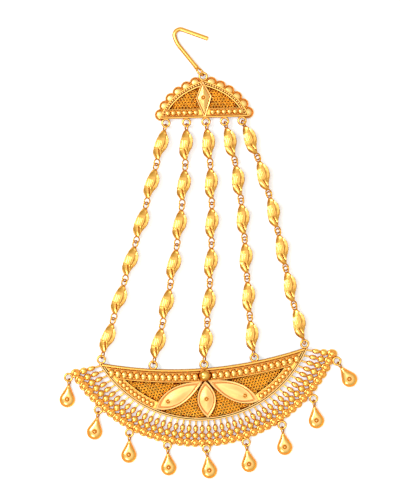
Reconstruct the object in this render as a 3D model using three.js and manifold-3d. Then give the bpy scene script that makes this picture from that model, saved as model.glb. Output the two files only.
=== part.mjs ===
// A gold head ornament laid flat: a wire hook, a small scalloped crown plate, five strands of
// twisted beads, and a crescent plate with a pierced fringe and nine drops.
// Millimetres, +Z up, the backs of the plates on Z 0, the hook towards +Y.
import * as THREE from "three";
import { mergeVertices } from "three/addons/utils/BufferGeometryUtils.js";
import Module from "manifold-3d";

const wasm = await Module();
wasm.setup();

// Clearance left wherever one ring passes through another
const linkClearance = 0.2;

// How deep a soldered ring is sunk into the edge of its plate, and a raised form into its face
const ringSink = 0.3;
const reliefSink = 0.1;

// Rings soldered to the plates: middle radius of the ring, radius of its wire
const eyeletRadius = 1.15;
const eyeletWire = 0.28;

// Twisted beads, three-sided, with a ring at each end
const beadLength = 9.0;
const beadWidth = 4.05;
const beadTipShare = 0.3;
const beadFullness = 0.75;
const beadTwist = 180;
const beadStartAngle = 60;
const beadRingRadius = 0.98;
const beadRingWire = 0.22;
const beadRingReach = 0.85;
const beadsPerStrand = 6;
const beadAxisHeight = 1.87;
const upperRingLean = -42;
const lowerRingLean = 32;
const endRingLean = 66;

// Crown plate
const crownWidth = 27;
const crownHeight = 11.4;
const crownShoulder = { x: 0.77, y: 0.74 };
const crownSideFoot = 0.4;
const crownScallops = 6;
const crownScallopRadius = 1.75;
const crownScallopStart = 0.85;
const crownScallopEnd = 0.35;
const crownEdgeThickness = 1.4;
const crownPlateThickness = 1.9;
const crownBandHeight = 3.1;
const crownBandInset = 0.6;
const crownBandSlope = 0.45;
const crownBandThickness = 2.4;
const crownLeafLength = 10.6;
const crownLeafWidth = 4.8;
const crownLeafRise = 1.2;
const crownLeafTurn = 4;
const crownTilt = 1.7;
const crownTopRingLift = 1.05;
const crownEyeletHeight = 1.75;

// Crescent plate: the lower rim is an arc about the crescent's own middle point
const rimRadius = 34.6;
const rimHalfSpan = 31;
const upperRimSag = 3.95;
const crescentPlateThickness = 1.9;
const crescentBandHeight = 3.6;
const crescentBandInset = 1.6;
const crescentBandSlope = 0.94;
const crescentBandThickness = 2.5;
const crescentTilt = 4.4;
const crescentEyeletHeight = 1.75;
const ballRadius = 1.9;
const ballDrop = 2.05;
const ballSink = 0.5;

// Leaves on the crescent
const leafRootDrop = 4.0;
const leafWidth = 5.2;
const leafRise = 1.35;
const sideLeafLength = 15.8;
const sideLeafAngle = 64;
const sideLeafOffset = 1.1;
const middleLeafMargin = 0.6;

// Fringe of bars fanning out under the crescent from horn to horn, with a scalloped edge: its
// length in the middle, how much longer it is at the horns, how much wider the scallops fan out
// than the feet of their bars, and the scallops' size as a share of half their spacing
const fringeBars = 43;
const fringeReach = 7.05;
const fringeHornReach = 0.9;
const fringeFan = 1.047;
const fringeThickness = 1.3;
const scallopOverlap = 1.14;
const rimWidth = 0.6;
const dropEyeletHeight = 1.2;

// Drops: a domed tear with a ring at its tip
const dropLength = 6.9;
const dropWidth = 4.65;
const dropTipWidth = 0.6;
const dropThickness = 2.0;
const dropRingRadius = 0.9;
const dropRingWire = 0.22;
const dropRingReach = 0.8;
const dropRingLean = 66;

// Hook of round wire, with an eye that hangs in the crown's top ring
const hookWire = 0.635;
const hookEyeRadius = 1.4;
const hookEyeWire = 0.34;
const hookEyeLean = 65;
const hookEyeHeight = 1.7;
const hookLegLength = 8.3;
const hookPointLength = 8.2;
const hookBendRadius = 1.75;
const hookBendTurn = 124;
const hookSweepRadius = 8;
const hookSweepTurn = 25;
const hookHangs = 33;
const hookLies = 39;

// How the ornament lies
const hangShare = 0.9866;
const lieAngle = -0.48;

// Where each strand starts and ends, as shares of the half widths of the plates, and how far it
// bows to the right in its upper and its lower part, as shares of the hang
const strands = [
  { crownShare: -0.856, rimShare: -0.985, upperBow: 0.019, lowerBow: 0.007 },
  { crownShare: -0.4, rimShare: -0.49, upperBow: 0.046, lowerBow: 0.033 },
  { crownShare: 0.033, rimShare: 0, upperBow: 0.048, lowerBow: 0.024 },
  { crownShare: 0.444, rimShare: 0.49, upperBow: 0.063, lowerBow: -0.006 },
  { crownShare: 0.833, rimShare: 0.985, upperBow: 0.061, lowerBow: -0.01 },
];

// Where each drop's eyelet sits, as a share of the way from the middle scallop to the last one,
// which way its ring hangs from the eyelet, and which way the drop lies, both in degrees to the
// right of straight down
const drops = [
  { fringeShare: -1, hangs: 8, lies: -6 },
  { fringeShare: -0.738, hangs: -4, lies: -11 },
  { fringeShare: -0.505, hangs: 0, lies: -2 },
  { fringeShare: -0.262, hangs: 3, lies: 3 },
  { fringeShare: -0.024, hangs: 6, lies: 8 },
  { fringeShare: 0.22, hangs: 6, lies: 8 },
  { fringeShare: 0.46, hangs: 6, lies: 7 },
  { fringeShare: 0.706, hangs: 6, lies: 8 },
  { fringeShare: 0.969, hangs: 34, lies: 35 },
];

// Half width of a fringe bar at some places along the gap beside it, as shares of the way from
// the rim wire to the middles of the scallops, and of half the pitch there
const fringeGap = [
  { along: 0, bar: 0.27 },
  { along: 0.74, bar: 0.8 },
];

// Size of a domed piece at some heights, as shares of its outline
const domeSteps = [
  { rise: 0, size: 1 },
  { rise: 0.45, size: 0.96 },
  { rise: 1, size: 0.42 },
];

// How many flat sides stand for each curve, and how far the hook's wire turns at each of its sides
const wireSides = 5;
const ringSides = 10;
const discSides = 8;
const beadSides = 3;
const beadSteps = 5;
const leafSegments = 4;
const dropSegments = 3;
const crownSideSegments = 7;
const upperRimSegments = 8;
const lowerRimSegments = 18;
const scallopSegments = 3;
const hookSides = 6;
const hookSteps = 24;
const hookStepTurn = 18;

const gold = new THREE.MeshStandardMaterial({ color: 0xe8b23c, roughness: 0.25, metalness: 1 });
const radians = THREE.MathUtils.degToRad;
const origin = new THREE.Vector2();

// Solids: closed three.js geometry in and out of the library that joins them
function solidOf(geometry) {
  const bare = geometry.clone();
  bare.deleteAttribute("normal");
  bare.deleteAttribute("uv");
  const merged = mergeVertices(bare, 1e-4);
  return new wasm.Manifold(
    new wasm.Mesh({
      numProp: 3,
      vertProperties: merged.attributes.position.array,
      triVerts: new Uint32Array(merged.index.array),
    }),
  );
}

function join(...geometries) {
  const joined = geometries.map(solidOf).reduce((all, next) => all.add(next));
  const { numProp, vertProperties, triVerts } = joined.getMesh();
  const corners = new Float32Array((vertProperties.length / numProp) * 3);
  for (let i = 0; i * 3 < corners.length; i++) {
    corners.set(vertProperties.subarray(i * numProp, i * numProp + 3), i * 3);
  }
  const geometry = new THREE.BufferGeometry();
  geometry.setAttribute("position", new THREE.BufferAttribute(corners, 3));
  geometry.setIndex(new THREE.BufferAttribute(triVerts, 1));
  geometry.computeVertexNormals();
  return geometry;
}

function piece(name, geometry) {
  const mesh = new THREE.Mesh(geometry, gold.clone());
  mesh.name = name;
  return mesh;
}

function slab(outline, bottom, top) {
  const made = new THREE.ExtrudeGeometry(outline, { depth: top - bottom, steps: 1, bevelEnabled: false });
  return made.translate(0, 0, bottom);
}

// A ring of wire lying flat about its middle, then leant about Y
function ring(radius, wire, lean, x, y, z) {
  const made = new THREE.TorusGeometry(radius, wire, wireSides, ringSides);
  return made.rotateZ(Math.PI / ringSides).rotateY(radians(lean)).translate(x, y, z);
}

// An outline raised to a dome: the outline is shrunk towards its own middle as it rises
function dome(outline, middle, bottom, height) {
  const steps = domeSteps.length - 1;
  const made = new THREE.ExtrudeGeometry(outline, { depth: steps, steps, bevelEnabled: false });
  const place = made.attributes.position;
  for (let i = 0; i < place.count; i++) {
    const { rise, size } = domeSteps[Math.round(place.getZ(i))];
    const x = middle.x + (place.getX(i) - middle.x) * size;
    const y = middle.y + (place.getY(i) - middle.y) * size;
    place.setXYZ(i, x, y, bottom + rise * height);
  }
  return made;
}

// A pointed leaf along +Y from its root
function leafOutline(length, width) {
  const leaf = new THREE.Shape();
  leaf.moveTo(0, 0);
  leaf.quadraticCurveTo(width, length * 0.5, 0, length);
  leaf.quadraticCurveTo(-width, length * 0.5, 0, 0);
  return new THREE.Shape(leaf.getPoints(leafSegments));
}

function leaf(length, width, bottom, rise) {
  return dome(leafOutline(length, width), new THREE.Vector2(0, length * 0.5), bottom, rise);
}

// Distance between the middles of two linked rings, the first no smaller than the second:
// drawn taut, or pushed together
function tautLink(radiusA, wireA, radiusB, wireB) {
  return radiusA + radiusB - wireA - wireB - linkClearance;
}

function looseLink(radiusA, wireA, radiusB, wireB) {
  return radiusA - radiusB + wireA + wireB + linkClearance;
}

// Twisted bead along Y about its own middle: an even-sided section, swollen and turned
const beadCorner = beadWidth / (2 * Math.sin(Math.PI / beadSides));

function beadBody() {
  const corners = Array.from({ length: beadSides }, (_, i) =>
    new THREE.Vector2(beadCorner, 0).rotateAround(origin, (2 * Math.PI * i) / beadSides),
  );
  const section = new THREE.Shape(corners);
  const made = new THREE.ExtrudeGeometry(section, { depth: 1, steps: beadSteps, bevelEnabled: false });
  const place = made.attributes.position;
  for (let i = 0; i < place.count; i++) {
    const share = (1 - Math.cos(Math.PI * place.getZ(i))) / 2;
    const swell = beadTipShare + (1 - beadTipShare) * Math.sin(Math.PI * share) ** beadFullness;
    const turn = radians(beadStartAngle - beadTwist * share);
    const x = place.getX(i) * swell;
    const z = place.getY(i) * swell;
    place.setXYZ(
      i,
      x * Math.cos(turn) - z * Math.sin(turn),
      beadLength * (0.5 - share),
      x * Math.sin(turn) + z * Math.cos(turn),
    );
  }
  return made;
}

const beadReach = beadLength / 2 + beadRingReach;

function bead(upperLean, lowerLean) {
  return join(
    beadBody(),
    ring(beadRingRadius, beadRingWire, upperLean, 0, beadReach, 0),
    ring(beadRingRadius, beadRingWire, lowerLean, 0, -beadReach, 0),
  );
}

// Crown plate about the middle of its base
function crownSide(side) {
  return new THREE.QuadraticBezierCurve(
    new THREE.Vector2(0, crownHeight),
    new THREE.Vector2((side * crownShoulder.x * crownWidth) / 2, crownShoulder.y * crownHeight),
    new THREE.Vector2((side * crownWidth) / 2, crownSideFoot),
  );
}

function crownEyeletPlace(strand) {
  return new THREE.Vector2((strand.crownShare * crownWidth) / 2, ringSink - eyeletRadius - eyeletWire);
}

const crownTopRing = new THREE.Vector2(0, crownHeight + crownTopRingLift);

function crown() {
  const right = crownSide(1).getPoints(crownSideSegments).reverse();
  const left = crownSide(-1).getPoints(crownSideSegments).slice(1);
  const base = [new THREE.Vector2(-crownWidth / 2, 0), new THREE.Vector2(crownWidth / 2, 0)];
  const arch = new THREE.Shape([...base, ...right, ...left]);
  const parts = [slab(arch, 0, crownPlateThickness)];
  for (const side of [-1, 1]) {
    for (let i = 0; i < crownScallops; i++) {
      const pitches = crownScallops - 1 + crownScallopStart + crownScallopEnd;
      const at = crownSide(side).getPointAt((i + crownScallopStart) / pitches);
      const disc = new THREE.CylinderGeometry(
        crownScallopRadius,
        crownScallopRadius,
        crownEdgeThickness,
        discSides,
      );
      parts.push(disc.rotateX(Math.PI / 2).translate(at.x, at.y, crownEdgeThickness / 2));
    }
  }
  const halfBase = crownWidth / 2 - crownBandInset;
  const halfTop = halfBase - crownBandHeight * crownBandSlope;
  const band = new THREE.Shape([
    new THREE.Vector2(-halfBase, 0),
    new THREE.Vector2(halfBase, 0),
    new THREE.Vector2(halfTop, crownBandHeight),
    new THREE.Vector2(-halfTop, crownBandHeight),
  ]);
  parts.push(slab(band, 0, crownBandThickness));
  const leafBottom = crownPlateThickness - reliefSink;
  const middleLeaf = leaf(crownLeafLength, crownLeafWidth, leafBottom, crownLeafRise);
  parts.push(middleLeaf.rotateZ(radians(crownLeafTurn)));
  parts.push(ring(eyeletRadius, eyeletWire, 0, crownTopRing.x, crownTopRing.y, crownEyeletHeight));
  for (const strand of strands) {
    const at = crownEyeletPlace(strand);
    parts.push(ring(eyeletRadius, eyeletWire, 0, at.x, at.y, crownEyeletHeight));
  }
  return join(...parts);
}

// Crescent about the middle of its lower rim's arc
const tipHeight = -Math.sqrt(rimRadius ** 2 - rimHalfSpan ** 2);
const upperRimRadius = (rimHalfSpan ** 2 + upperRimSag ** 2) / (2 * upperRimSag);
const upperRimMiddle = tipHeight - upperRimSag + upperRimRadius;

function upperRim(x, inset) {
  return upperRimMiddle - Math.sqrt((upperRimRadius + inset) ** 2 - x ** 2);
}

function polar(radius, degrees) {
  return new THREE.Vector2(radius * Math.sin(radians(degrees)), -radius * Math.cos(radians(degrees)));
}

function rimEyeletPlace(strand) {
  const x = strand.rimShare * rimHalfSpan;
  return new THREE.Vector2(x, upperRim(x, 0) + eyeletRadius + eyeletWire - ringSink);
}

// Points along the upper rim from one x to another, set in by some distance
function upperRimPoints(from, to, inset, count) {
  return Array.from({ length: count + 1 }, (_, i) => {
    const x = from + ((to - from) * i) / count;
    return new THREE.Vector2(x, upperRim(x, inset));
  });
}

function rimPoints(radius, from, to, count) {
  return Array.from({ length: count + 1 }, (_, i) => polar(radius, from + ((to - from) * i) / count));
}

// Bars are counted from the middle one, and their pitches are in degrees
const lastBar = (fringeBars - 1) / 2;
const hornAngle = THREE.MathUtils.radToDeg(Math.asin(rimHalfSpan / rimRadius));
const rimPitch = (2 * hornAngle) / fringeBars;
const scallopPitch = rimPitch * fringeFan;

function scallopOrbit(bar) {
  return rimRadius + fringeReach + fringeHornReach * (bar / lastBar) ** 2;
}

const scallopChord = scallopOrbit(0) * Math.sin(radians(scallopPitch / 2));
const scallopRadius = scallopChord * scallopOverlap;

// How far the scalloped edge is from the crescent's middle point
function scallopEdge(bar) {
  const orbit = scallopOrbit(bar);
  const fromScallop = Math.abs(bar + lastBar - Math.round(bar + lastBar));
  const off = radians(scallopPitch * fromScallop);
  return orbit * Math.cos(off) + Math.sqrt(scallopRadius ** 2 - (orbit * Math.sin(off)) ** 2);
}

function fringeOutline() {
  const spread = Math.asin(1 / scallopOverlap);
  const hornSpread = Math.PI * 0.75;
  const points = upperRimPoints(rimHalfSpan, -rimHalfSpan, 0, upperRimSegments);
  for (let bar = -lastBar; bar <= lastBar; bar++) {
    const angle = scallopPitch * bar;
    const middle = polar(scallopOrbit(bar), angle);
    const first = bar === -lastBar ? -hornSpread : -spread;
    const last = bar === lastBar ? hornSpread : spread;
    for (let i = bar === -lastBar ? 0 : 1; i <= scallopSegments; i++) {
      const turn = radians(angle) + first + ((last - first) * i) / scallopSegments;
      points.push(
        new THREE.Vector2(
          middle.x + scallopRadius * Math.sin(turn),
          middle.y - scallopRadius * Math.cos(turn),
        ),
      );
    }
  }
  return new THREE.Shape(points);
}

function fringeHole(bar) {
  const from = rimRadius + rimWidth;
  const side = (sign) =>
    fringeGap.map(({ along, bar: width }) => {
      const radius = THREE.MathUtils.lerp(from, scallopOrbit(bar), along);
      const pitch = THREE.MathUtils.lerp(rimPitch, scallopPitch, along);
      return polar(radius, (bar + 0.5 + (sign * (1 - width)) / 2) * pitch);
    });
  return new THREE.Path([...side(-1), ...side(1).reverse()]);
}

function dropEyeletPlace(drop) {
  const bar = drop.fringeShare * lastBar;
  return polar(scallopEdge(bar) + eyeletRadius + eyeletWire - ringSink, scallopPitch * bar);
}

function crescent() {
  const fringe = fringeOutline();
  for (let bar = -lastBar; bar < lastBar; bar++) fringe.holes.push(fringeHole(bar));

  const plate = new THREE.Shape([
    ...upperRimPoints(rimHalfSpan, -rimHalfSpan, 0, upperRimSegments),
    ...rimPoints(rimRadius, -hornAngle, hornAngle, lowerRimSegments).slice(1, -1),
  ]);
  const halfTop = rimHalfSpan - crescentBandInset;
  const halfFoot = halfTop - crescentBandHeight * crescentBandSlope;
  const band = new THREE.Shape([
    ...upperRimPoints(halfTop, -halfTop, 0, upperRimSegments),
    ...upperRimPoints(-halfFoot, halfFoot, crescentBandHeight, upperRimSegments),
  ]);
  const root = upperRim(0, leafRootDrop);
  const middleLeafLength = root + rimRadius - middleLeafMargin;
  const leafBottom = crescentPlateThickness - reliefSink;
  const parts = [
    slab(fringe, 0, fringeThickness),
    slab(plate, 0, crescentPlateThickness),
    slab(band, 0, crescentBandThickness),
    leaf(middleLeafLength, leafWidth, leafBottom, leafRise).rotateZ(Math.PI).translate(0, root, 0),
  ];
  for (const side of [-1, 1]) {
    const turned = leaf(sideLeafLength, leafWidth, leafBottom, leafRise);
    turned.rotateZ(Math.PI + side * radians(sideLeafAngle));
    parts.push(turned.translate(side * sideLeafOffset, root, 0));
  }
  const ball = new THREE.SphereGeometry(ballRadius, 10, 5).rotateX(Math.PI / 2);
  parts.push(ball.translate(0, upperRim(0, ballDrop), crescentBandThickness - ballSink));
  for (const strand of strands) {
    const at = rimEyeletPlace(strand);
    parts.push(ring(eyeletRadius, eyeletWire, 0, at.x, at.y, crescentEyeletHeight));
  }
  for (const drop of drops) {
    const at = dropEyeletPlace(drop);
    parts.push(ring(eyeletRadius, eyeletWire, 0, at.x, at.y, dropEyeletHeight));
  }
  return join(...parts);
}

// Drop along -Y from the middle of its ring
function drop() {
  const round = dropWidth / 2;
  const tip = -dropRingReach;
  const middle = tip - dropLength + round;
  const touch = Math.acos(round / (tip - middle));
  const outline = new THREE.Shape();
  outline.moveTo(dropTipWidth / 2, tip);
  outline.lineTo(-dropTipWidth / 2, tip);
  outline.absarc(0, middle, round, Math.PI / 2 + touch, Math.PI / 2 - touch + 2 * Math.PI, false);
  const points = outline.getPoints(dropSegments).slice(0, -1);
  const body = dome(new THREE.Shape(points), new THREE.Vector2(0, middle), 0, dropThickness);
  return join(body, ring(dropRingRadius, dropRingWire, dropRingLean, 0, 0, dropEyeletHeight));
}

// Hook in the plane of its wire: the leg rises along +Y from the middle of the eye
function hook() {
  const path = new THREE.CurvePath();
  let at = new THREE.Vector2(0, hookEyeRadius);
  let heading = 90;
  const straight = (length) => {
    const end = new THREE.Vector2(Math.cos(radians(heading)), Math.sin(radians(heading)));
    end.multiplyScalar(length).add(at);
    path.add(new THREE.LineCurve3(new THREE.Vector3(at.x, at.y, 0), new THREE.Vector3(end.x, end.y, 0)));
    at = end;
  };
  const bend = (radius, turn) => {
    const chords = Math.ceil(turn / hookStepTurn);
    const halfTurn = turn / chords / 2;
    for (let i = 0; i < chords; i++) {
      heading -= halfTurn;
      straight(2 * radius * Math.sin(radians(halfTurn)));
      heading -= halfTurn;
    }
  };
  straight(hookLegLength);
  bend(hookSweepRadius, hookSweepTurn);
  bend(hookBendRadius, hookBendTurn);
  straight(hookPointLength);
  const round = new THREE.EllipseCurve(0, 0, hookWire, hookWire);
  const section = new THREE.Shape(round.getPoints(hookSides).slice(1));
  const wire = new THREE.ExtrudeGeometry(section, {
    steps: hookSteps,
    extrudePath: path,
    bevelEnabled: false,
  });
  return join(wire, ring(hookEyeRadius, hookEyeWire, hookEyeLean, 0, 0, 0));
}

// Lay the ornament out
const ornament = new THREE.Group();

const crownMesh = piece("crown", crown());
crownMesh.rotation.z = radians(crownTilt);
ornament.add(crownMesh);

const turnedBy = (point, degrees) => point.clone().rotateAround(origin, radians(degrees));
const direction = (degrees) => new THREE.Vector2(Math.sin(radians(degrees)), -Math.cos(radians(degrees)));

const beadSpan = 2 * beadReach;
const eyeletLink = [eyeletRadius, eyeletWire, beadRingRadius, beadRingWire];
const beadLink = [beadRingRadius, beadRingWire, beadRingRadius, beadRingWire];
const strandLength = (link) =>
  beadsPerStrand * beadSpan + (beadsPerStrand - 1) * link(...beadLink) + 2 * link(...eyeletLink);
const hang = hangShare * strandLength(tautLink);

const middleStrand = strands[(strands.length - 1) / 2];
const crescentPlace = turnedBy(crownEyeletPlace(middleStrand), crownTilt)
  .addScaledVector(direction(lieAngle), hang)
  .sub(turnedBy(rimEyeletPlace(middleStrand), crescentTilt));

const crescentMesh = piece("crescent", crescent());
crescentMesh.rotation.z = radians(crescentTilt);
crescentMesh.position.set(crescentPlace.x, crescentPlace.y, 0);
ornament.add(crescentMesh);

// Strands: beads of one length spaced evenly along a gently bowed line between two eyelets
const firstBead = bead(-endRingLean, lowerRingLean);
const midBead = bead(upperRingLean, lowerRingLean);
const lastBead = bead(upperRingLean, endRingLean);

function strandLine(strand) {
  const from = turnedBy(crownEyeletPlace(strand), crownTilt);
  const to = turnedBy(rimEyeletPlace(strand), crescentTilt).add(crescentPlace);
  const along = to.clone().sub(from);
  const right = new THREE.Vector2(-along.y, along.x).normalize();
  const bowed = (share, bow) =>
    from.clone().addScaledVector(along, share).addScaledVector(right, bow * hang);
  return new THREE.CubicBezierCurve(from, bowed(1 / 3, strand.upperBow), bowed(2 / 3, strand.lowerBow), to);
}

strands.forEach((strand, s) => {
  const line = strandLine(strand);
  const length = line.getLength();
  const slack = (length - strandLength(looseLink)) / (strandLength(tautLink) - strandLength(looseLink));
  const linked = (link) => THREE.MathUtils.lerp(looseLink(...link), tautLink(...link), slack);
  for (let b = 0; b < beadsPerStrand; b++) {
    const start = linked(eyeletLink) + b * (beadSpan + linked(beadLink));
    const upper = line.getPointAt(start / length);
    const lower = line.getPointAt((start + beadSpan) / length);
    const shape = b === 0 ? firstBead : b === beadsPerStrand - 1 ? lastBead : midBead;
    const mesh = piece(`strand_${s + 1}_bead_${b + 1}`, shape);
    mesh.position.set((upper.x + lower.x) / 2, (upper.y + lower.y) / 2, beadAxisHeight);
    mesh.rotation.z = Math.atan2(upper.y - lower.y, upper.x - lower.x) - Math.PI / 2;
    ornament.add(mesh);
  }
});

// Drops: each lies its own way from the eyelet that it hangs in
const dropShape = drop();
const dropLink = tautLink(eyeletRadius, eyeletWire, dropRingRadius, dropRingWire);
drops.forEach((place, i) => {
  const at = turnedBy(dropEyeletPlace(place), crescentTilt)
    .add(crescentPlace)
    .addScaledVector(direction(place.hangs), dropLink);
  const mesh = piece(`drop_${i + 1}`, dropShape);
  mesh.position.set(at.x, at.y, 0);
  mesh.rotation.z = radians(place.lies);
  ornament.add(mesh);
});

// Hook: its eye hangs in the crown's top ring, and its bend rests on the surface
const hookLink = tautLink(eyeletRadius, eyeletWire, hookEyeRadius, hookEyeWire);
const hookPlace = turnedBy(crownTopRing, crownTilt).addScaledVector(direction(180 + hookHangs), hookLink);
const hookReach =
  hookEyeRadius +
  hookLegLength +
  hookSweepRadius * Math.sin(radians(hookSweepTurn)) +
  hookBendRadius * (1 - Math.sin(radians(hookSweepTurn)));
const hookMesh = piece("hook", hook());
hookMesh.rotation.order = "ZXY";
hookMesh.rotation.x = -Math.asin((hookEyeHeight - hookWire) / hookReach);
hookMesh.rotation.z = radians(hookLies);
hookMesh.position.set(hookPlace.x, hookPlace.y, hookEyeHeight);
ornament.add(hookMesh);

// The origin is under the middle of the whole ornament
const middle = new THREE.Box3().setFromObject(ornament, true).getCenter(new THREE.Vector3());
ornament.position.set(-middle.x, -middle.y, 0);

export default ornament;
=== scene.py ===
# %% [markdown]
# A gold head ornament, seen from straight above as it lies on a table. A wire hook holds a small
# scalloped crown, five strands of twisted beads hang from the crown, and they carry a crescent
# with a pierced fringe and nine drops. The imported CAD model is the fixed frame: every piece here
# is modelled over one of its nodes, in millimetres, and is then made metres and put in its place.

import math
import random

import bmesh
import bpy
from mathutils import Matrix, Vector


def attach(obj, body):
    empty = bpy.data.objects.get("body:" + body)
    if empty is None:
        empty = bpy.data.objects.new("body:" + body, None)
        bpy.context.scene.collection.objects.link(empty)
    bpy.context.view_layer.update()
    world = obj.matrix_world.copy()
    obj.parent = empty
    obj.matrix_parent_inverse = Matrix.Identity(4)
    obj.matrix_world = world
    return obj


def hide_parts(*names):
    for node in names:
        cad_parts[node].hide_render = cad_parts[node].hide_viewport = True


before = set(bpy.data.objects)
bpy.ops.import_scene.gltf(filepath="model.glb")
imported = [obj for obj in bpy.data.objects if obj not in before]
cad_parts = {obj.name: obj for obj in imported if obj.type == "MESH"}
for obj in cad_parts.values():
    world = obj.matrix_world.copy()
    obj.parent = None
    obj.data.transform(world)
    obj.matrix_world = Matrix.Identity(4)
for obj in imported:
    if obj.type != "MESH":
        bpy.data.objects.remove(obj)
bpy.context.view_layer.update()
MM = 0.001
print("CAD nodes:", len(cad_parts))

# %% [markdown]
# The ornament is laid out by a few sizes: rings on the plates, beads of one length, and two plates
# whose edges carry the rings. The same sizes place the pieces here, so that a bead or a drop falls
# where its solid is. Lengths are in millimetres. Angles are in degrees, and a direction is counted
# to the right of straight down. A ring is a pair: its radius and that of its wire.

# %% Sizes of the ornament
LINK_GAP = 0.2
RING_SINK = 0.3
EYELET = (1.15, 0.28)
EYELET_LOOKS = (1.1, 0.33)

BEAD_LENGTH = 9.0
BEAD_RING = (0.98, 0.22)
BEAD_REACH = BEAD_LENGTH / 2 + 0.85
BEADS = 6
BEAD_HEIGHT = 1.87

CROWN_WIDTH = 27.0
CROWN_HEIGHT = 11.4
CROWN_TILT = 1.7
CROWN_FOOT = 0.4
CROWN_SCALLOPS = 6
CROWN_SCALLOP_RADIUS = 1.75
CROWN_RING_LIFT = 1.05
PLATE_RING_HEIGHT = 1.75

RIM_RADIUS = 34.6
RIM_HALF_SPAN = 31.0
RIM_SAG = 3.95
CRESCENT_TILT = 4.4
FRINGE_BARS = 43
FRINGE_REACH = 7.05
FRINGE_HORN_REACH = 0.9
FRINGE_FAN = 1.047
SCALLOP_OVERLAP = 1.14

DROP_LENGTH = 6.9
DROP_WIDTH = 4.65
DROP_RING = (0.9, 0.22)
DROP_REACH = 0.8
DROP_RING_HEIGHT = 1.2

# The crescent hangs from the crown by this share of a taut strand, in this direction
HANG_SHARE = 0.9866
LIE_ANGLE = -0.48

# A strand's ends are shares of half a plate's width, and its bows are shares of its length
STRANDS = [
    {"crown": -0.856, "rim": -0.985, "upper": 0.019, "lower": 0.007},
    {"crown": -0.4, "rim": -0.49, "upper": 0.046, "lower": 0.033},
    {"crown": 0.033, "rim": 0.0, "upper": 0.048, "lower": 0.024},
    {"crown": 0.444, "rim": 0.49, "upper": 0.063, "lower": -0.006},
    {"crown": 0.833, "rim": 0.985, "upper": 0.061, "lower": -0.01},
]
# A drop's place on the fringe is a share of half its bars, and it hangs and lies in a direction
DROPS = [
    {"fringe": -1.0, "hangs": 8, "lies": -6},
    {"fringe": -0.738, "hangs": -4, "lies": -11},
    {"fringe": -0.505, "hangs": 0, "lies": -2},
    {"fringe": -0.262, "hangs": 3, "lies": 3},
    {"fringe": -0.024, "hangs": 6, "lies": 8},
    {"fringe": 0.22, "hangs": 6, "lies": 8},
    {"fringe": 0.46, "hangs": 6, "lies": 7},
    {"fringe": 0.706, "hangs": 6, "lies": 8},
    {"fringe": 0.969, "hangs": 34, "lies": 35},
]


# %% Where things are on the plates
def flat(x, y):
    return Vector((x, y, 0.0))


def turned(point, degrees):
    return Matrix.Rotation(math.radians(degrees), 3, "Z") @ point


def direction(degrees):
    return flat(math.sin(math.radians(degrees)), -math.cos(math.radians(degrees)))


def polar(radius, degrees):
    return direction(degrees) * radius


def along(points, share):
    """The point at a share of the length of a line of points."""
    steps = [(b - a).length for a, b in zip(points, points[1:])]
    left = share * sum(steps)
    for a, b, step in zip(points, points[1:], steps):
        if left <= step:
            return a.lerp(b, left / step)
        left -= step
    return points[-1].copy()


def bezier(corners, count):
    """Points on a Bezier curve, by repeated halving ways between its corners."""
    found = []
    for i in range(count + 1):
        level = list(corners)
        while len(level) > 1:
            level = [a.lerp(b, i / count) for a, b in zip(level, level[1:])]
        found.append(level[0])
    return found


def crown_side(side, inset=0.0):
    reach = CROWN_WIDTH / 2 - inset
    top = CROWN_HEIGHT - inset
    corners = [flat(0, top), flat(side * 0.77 * reach, 0.74 * top), flat(side * reach, CROWN_FOOT)]
    return bezier(corners, 40)


def crown_eyelet(strand):
    return flat(strand["crown"] * CROWN_WIDTH / 2, RING_SINK - sum(EYELET))


crown_ring = flat(0, CROWN_HEIGHT + CROWN_RING_LIFT)
horn_height = -math.sqrt(RIM_RADIUS**2 - RIM_HALF_SPAN**2)
upper_radius = (RIM_HALF_SPAN**2 + RIM_SAG**2) / (2 * RIM_SAG)
upper_middle = horn_height - RIM_SAG + upper_radius


def upper_rim(x, inset=0.0):
    return flat(x, upper_middle - math.sqrt((upper_radius + inset) ** 2 - x**2))


def rim_eyelet(strand):
    return upper_rim(strand["rim"] * RIM_HALF_SPAN) + flat(0, sum(EYELET) - RING_SINK)


last_bar = (FRINGE_BARS - 1) / 2
horn_angle = math.degrees(math.asin(RIM_HALF_SPAN / RIM_RADIUS))
rim_pitch = 2 * horn_angle / FRINGE_BARS
scallop_pitch = rim_pitch * FRINGE_FAN


def scallop_orbit(bar):
    return RIM_RADIUS + FRINGE_REACH + FRINGE_HORN_REACH * (bar / last_bar) ** 2


scallop_radius = scallop_orbit(0) * math.sin(math.radians(scallop_pitch / 2)) * SCALLOP_OVERLAP


def drop_eyelet(drop):
    bar = drop["fringe"] * last_bar
    off = math.radians(scallop_pitch * abs(bar - round(bar)))
    orbit = scallop_orbit(bar)
    edge = orbit * math.cos(off) + math.sqrt(scallop_radius**2 - (orbit * math.sin(off)) ** 2)
    return polar(edge + sum(EYELET) - RING_SINK, scallop_pitch * bar)


# %% Where the plates, beads and drops lie
def taut(big, small):
    return big[0] + small[0] - big[1] - small[1] - LINK_GAP


def loose(big, small):
    return big[0] - small[0] + big[1] + small[1] + LINK_GAP


def strand_length(link):
    joints = (BEADS - 1) * link(BEAD_RING, BEAD_RING) + 2 * link(EYELET, BEAD_RING)
    return BEADS * 2 * BEAD_REACH + joints


hang = HANG_SHARE * strand_length(taut)
middle_strand = STRANDS[len(STRANDS) // 2]
crescent_place = (
    turned(crown_eyelet(middle_strand), CROWN_TILT)
    + direction(LIE_ANGLE) * hang
    - turned(rim_eyelet(middle_strand), CRESCENT_TILT)
)

# The frame's origin is under the middle of its box, and the crown's base lies here from it
origin = flat(-1.17, 40.37)
print("crescent lies at", tuple(round(v, 2) for v in origin + crescent_place), "mm")

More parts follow.
